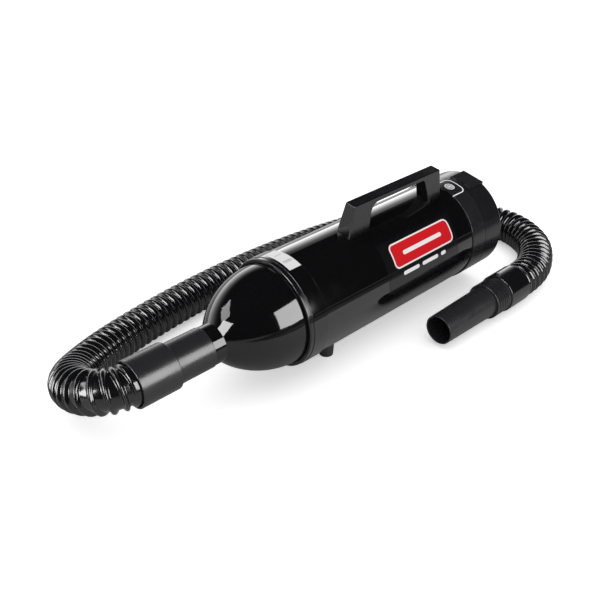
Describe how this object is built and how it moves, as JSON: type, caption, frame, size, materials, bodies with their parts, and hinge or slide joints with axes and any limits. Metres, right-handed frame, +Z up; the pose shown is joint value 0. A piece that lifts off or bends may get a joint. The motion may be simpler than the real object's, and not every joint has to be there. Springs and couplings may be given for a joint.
{
  "type": "cordless canister hand vacuum",
  "caption": "Black cordless canister hand vacuum and blower with a domed nose, strap handle and a corrugated hose that loops round it.",
  "frame": {"origin": "on the floor under the middle of the machine's own box, without the hose and what is on it", "axes": "+X along the body from the nose to the back, +Z up, so the side that carries the label faces -Y"},
  "size_m": [0.6501, 0.2809, 0.1617],
  "materials": {
    "tube_paint": "gloss",
    "gloss_black": "gloss",
    "satin_black": "satin",
    "handle_black": "satin",
    "hose_black": "gloss",
    "rubber_black": "matt",
    "white_print": "matt",
    "label_print": "gloss",
    "steel": "satin",
    "zinc_black": "satin",
    "bag_cloth": "matt",
    "fan_grey": "satin",
    "winding": "satin",
    "copper": "satin",
    "magnet_grey": "matt",
    "carbon": "matt",
    "board_green": "satin",
    "cell_wrap": "satin",
    "pale_plastic": "satin"
  },
  "bodies": {
    "base": {"body_tube": "tube_paint", "front_band": "gloss_black", "nose_lip": "satin_black", "nose_seal": "rubber_black", "filter_bag": "bag_cloth", "bag_collar": "rubber_black", "motor_plate": "steel", "fan_housing": "steel", "stator_diffuser": "fan_grey", "motor_can": "steel", "motor_end_bell": "fan_grey", "bearing_front": "steel", "bearing_rear": "steel", "magnets": "magnet_grey", "brushes": "carbon", "brush_holders": "copper", "motor_mount": "rubber_black", "control_board": "board_green", "pack_socket": "satin_black", "terminals": "copper", "rear_collar": "satin_black", "button_well": "satin_black", "power_switch": "pale_plastic", "collar_screws": "zinc_black", "handle": "handle_black", "handle_screws": "steel", "front_feet": "rubber_black", "rear_foot": "rubber_black", "foot_screws": "steel", "band_sticker": "white_print", "side_label": "label_print", "hose": "hose_black", "hose_end_ring": "gloss_black", "far_cuff": "satin_black"},
    "rotor": {"motor_shaft": "steel", "impeller_front": "fan_grey", "impeller_rear": "fan_grey", "armature": "winding", "commutator": "copper"},
    "nose": {"nose_dome": "gloss_black"},
    "cuff": {"hose_cuff": "satin_black"},
    "power_button": {"power_button": "satin_black"},
    "pack": {"rear_cap": "satin_black", "battery_case": "satin_black", "battery_cells": "cell_wrap", "cell_spacer": "pale_plastic"},
    "release_button": {"release_button": "satin_black"},
    "end_collar": {"far_collar": "satin_black"},
    "nozzle": {"nozzle": "satin_black"}
  },
  "joints": [
    {"name": "rotor_spin", "type": "hinge", "parent": "base", "child": "rotor", "pos_m": [0.06, 0, 0.07], "axis": [1, 0, 0], "continuous": true},
    {"name": "nose_twist", "type": "hinge", "parent": "base", "child": "nose", "pos_m": [-0.0985, 0, 0.07], "axis": [1, 0, 0], "range_deg": [0, 25]},
    {"name": "cuff_swivel", "type": "hinge", "parent": "nose", "child": "cuff", "pos_m": [-0.195, 0, 0.07], "axis": [1, 0, 0], "continuous": true},
    {"name": "power_press", "type": "slide", "parent": "base", "child": "power_button", "axis": [0, 0.1736, -0.9848], "range_m": [0, 0.0015], "stiffness_N_per_m": 400, "springref_m": -0.002},
    {"name": "pack_slide", "type": "slide", "parent": "base", "child": "pack", "axis": [1, 0, 0], "range_m": [0, 0.05]},
    {"name": "release_press", "type": "slide", "parent": "pack", "child": "release_button", "axis": [0, 0.1736, -0.9848], "range_m": [0, 0.002], "stiffness_N_per_m": 400, "springref_m": -0.002},
    {"name": "end_swivel", "type": "hinge", "parent": "base", "child": "end_collar", "pos_m": [0.145, -0.092, 0.022], "axis": [1, 0, 0], "continuous": true},
    {"name": "nozzle_pull", "type": "slide", "parent": "end_collar", "child": "nozzle", "axis": [-1, 0, 0], "range_m": [0, 0.04]}
  ]
}
